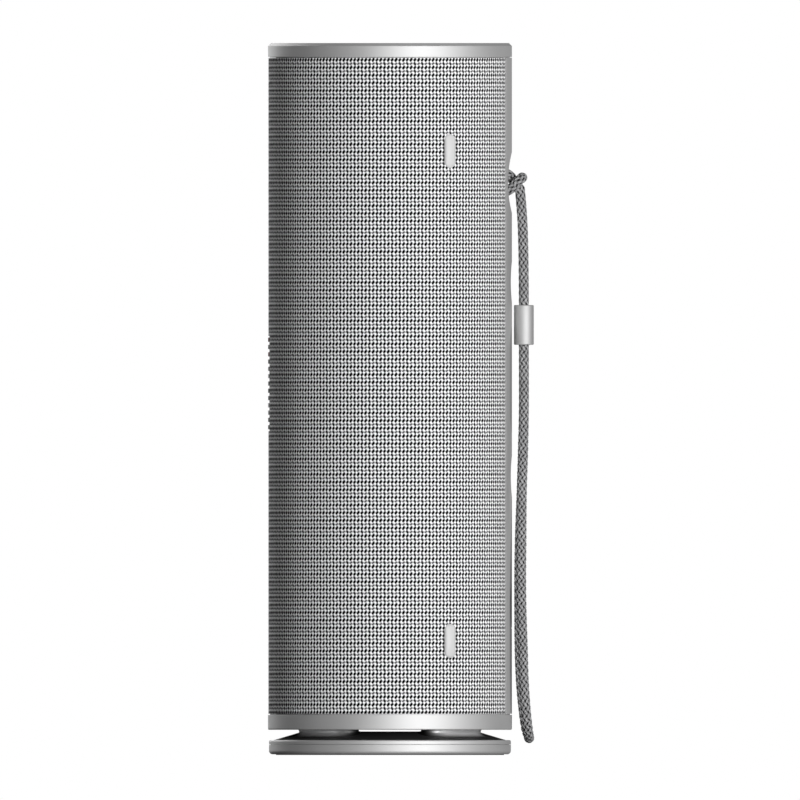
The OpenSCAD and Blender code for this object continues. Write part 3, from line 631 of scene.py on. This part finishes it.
def neck_pillars_mesh():
    """The four pillars, each a stack of sections that spread as they come down onto the cone."""
    low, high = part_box("neck_pillars")
    cone_low, cone_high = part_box("deflector")
    inner, outer = PILLAR_INNER, PILLAR_OUTER
    floor_in, floor_out = CONE_TOP_RADIUS, cone_high.x
    half = pillar_outline(inner, outer)
    outline = half + [(0, outer)] + [(-t, r) for t, r in reversed(half[1:])]
    steps = PILLAR_STEPS
    verts, faces = [], []
    for corner in range(4):
        middle = math.radians(45 + 90 * corner)
        section = np.array([[r * math.cos(middle + t), r * math.sin(middle + t)] for t, r in outline])
        ahead, behind = np.roll(section, -1, axis=0), np.roll(section, 1, axis=0)
        along = unit(ahead - behind)
        out = np.column_stack([along[:, 1], -along[:, 0]])
        centre = section.mean(axis=0)
        out *= np.sign(((section - centre) * out).sum(axis=1))[:, None]
        first = len(verts)
        for k in range(steps + 1):
            t = k / steps
            spread = (FOOT_SPREAD * t ** 5 + HEAD_SPREAD * (1 - t) ** 6) * MM
            for p, n in zip(section, out):
                place = p + n * spread * min(1.0, max(0.0, (math.hypot(*p) - inner) / (3 * MM)))
                reach = math.hypot(*place)
                share = min(1.0, max(0.0, (floor_out - reach) / (floor_out - floor_in)))
                floor_z = cone_low.z + (cone_high.z - cone_low.z) * share - 0.03 * MM
                verts.append((*place, high.z + (floor_z - high.z) * t))
        quads, _, _ = tube_faces(first, steps + 1, len(section))
        faces += quads.tolist()
        faces.append(list(range(first, first + len(section)))[::-1])
        faces.append(list(range(first + steps * len(section), first + (steps + 1) * len(section))))
    piece = mesh_piece("neck_waisted_pillars", verts, faces, ["neck_plastic"], "housing")
    bm = bmesh.new()
    bm.from_mesh(piece.data)
    bmesh.ops.recalc_face_normals(bm, faces=bm.faces)
    bm.to_mesh(piece.data)
    bm.free()
    for polygon in piece.data.polygons:
        polygon.use_smooth = len(polygon.vertices) == 4
    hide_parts("neck_pillars")


neck_pillars_mesh()

# ---- Anti-roll pads ----

PAD_RADIUS = 1.9 * MM
PAD_PROUD = 0.8 * MM
PAD_DOME = 0.9


def soft_pad(node):
    """A vertical pad with round ends and a domed face, on the CAD pad's place."""
    low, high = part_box(node)
    centre = (low + high) / 2
    turn = math.atan2(centre.y, centre.x)
    out = Vector((math.cos(turn), math.sin(turn), 0))
    side = Vector((-out.y, out.x, 0))
    radius = PAD_RADIUS
    half = (high.z - low.z) / 2 - radius
    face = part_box("top_ring")[1].x + PAD_PROUD
    shares = (1, 0.98, 0.92, 0.82, 0.68, 0.5, 0.25, 0.05)
    profile = [(1, -1.9)] + [(share, PAD_DOME * (math.sqrt(1 - share ** 2) - 1)) for share in shares]
    verts, around = [], 48
    for share, rise in profile:
        for k in range(around):
            a = 2 * math.pi * k / around
            y = radius * share * math.cos(a)
            up = radius * share * math.sin(a) + math.copysign(half * min(1, share + 0.02), math.sin(a))
            reach = math.sqrt((face + rise * MM) ** 2 - y ** 2)
            verts.append(out * reach + side * y + Vector((0, 0, centre.z + up)))
    faces, _, _ = tube_faces(0, len(profile), around)
    faces = faces.tolist() + [list(range((len(profile) - 1) * around, len(profile) * around))]
    piece = mesh_piece(node + "_domed", [tuple(v) for v in verts], faces, ["pad_rubber"], "housing")
    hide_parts(node)


soft_pad("upper_pad")
soft_pad("lower_pad")

# ---- Looks of the CAD nodes ----

for node in nodes.values():
    for place in node.material_slots:
        place.material = LOOKS[place.material.name.split(".")[0]]


# ---- Studio ----

LIGHT_DISTANCE = 1.4
FLOOR_RADIUS = 0.6


def softbox(name, azimuth, elevation, size, power):
    """A rectangular area light aimed at the speaker's middle. Azimuth 0 is the camera's side, 90 is +X."""
    light = bpy.data.lights.new(name, "AREA")
    light.shape = "RECTANGLE"
    light.size, light.size_y = size
    light.energy = power
    a, e = math.radians(azimuth), math.radians(elevation)
    back = Vector((math.sin(a) * math.cos(e), -math.cos(a) * math.cos(e), math.sin(e)))
    obj = bpy.data.objects.new(name, light)
    scene.collection.objects.link(obj)
    obj.location = (cad_low + cad_high) / 2 + back * LIGHT_DISTANCE
    obj.rotation_euler = back.to_track_quat("Z", "Y").to_euler()
    return obj


softbox("key_light", 28, 1, (0.45, 0.8), 30)
softbox("back_light", 217, 22, (0.7, 0.8), 14)
softbox("left_light", -66, 2, (0.35, 0.9), 0.9)
softbox("top_light", 0, 88, (0.9, 0.9), 1.6)
floor_light = softbox("floor_light", 0, 89, (0.9, 0.9), 9)
softbox("side_light", 140, 10, (0.5, 0.8), 1.2)

world = bpy.data.worlds.new("studio")
scene.world = world
world.use_nodes = True
tree = world.node_tree
shade = tree.nodes["Background"]
shade.inputs["Color"].default_value = (0.052, 0.052, 0.053, 1)
white = tree.nodes.new("ShaderNodeBackground")
white.inputs["Color"].default_value = (1, 1, 1, 1)
path = tree.nodes.new("ShaderNodeLightPath")
blend = tree.nodes.new("ShaderNodeMixShader")
tree.links.new(path.outputs["Is Camera Ray"], blend.inputs[0])
tree.links.new(shade.outputs[0], blend.inputs[1])
tree.links.new(white.outputs[0], blend.inputs[2])
tree.links.new(blend.outputs[0], tree.nodes["World Output"].inputs[0])

bm = bmesh.new()
bmesh.ops.create_circle(bm, cap_ends=True, segments=96, radius=FLOOR_RADIUS)
floor_mesh = bpy.data.meshes.new("floor")
bm.to_mesh(floor_mesh)
bm.free()
floor = bpy.data.objects.new("floor", floor_mesh)
scene.collection.objects.link(floor)
floor_look = Look("floor_look", 0.8)
floor_look.colour(floor_look.mix(floor_look.noise(12, 2), (0.86, 0.86, 0.86), (0.89, 0.89, 0.89)))
floor_look.roughness(floor_look.noise(60, 2) * 0.1 + 0.75)
floor_mesh.materials.append(floor_look.mat)
# The object is shown as if with nothing round it, so the floor sends no light or shade back to it
floor.visible_diffuse = floor.visible_glossy = floor.visible_shadow = False
lit_floor = bpy.data.collections.new("lit_floor")
lit_floor.objects.link(floor)
floor_light.light_linking.receiver_collection = lit_floor
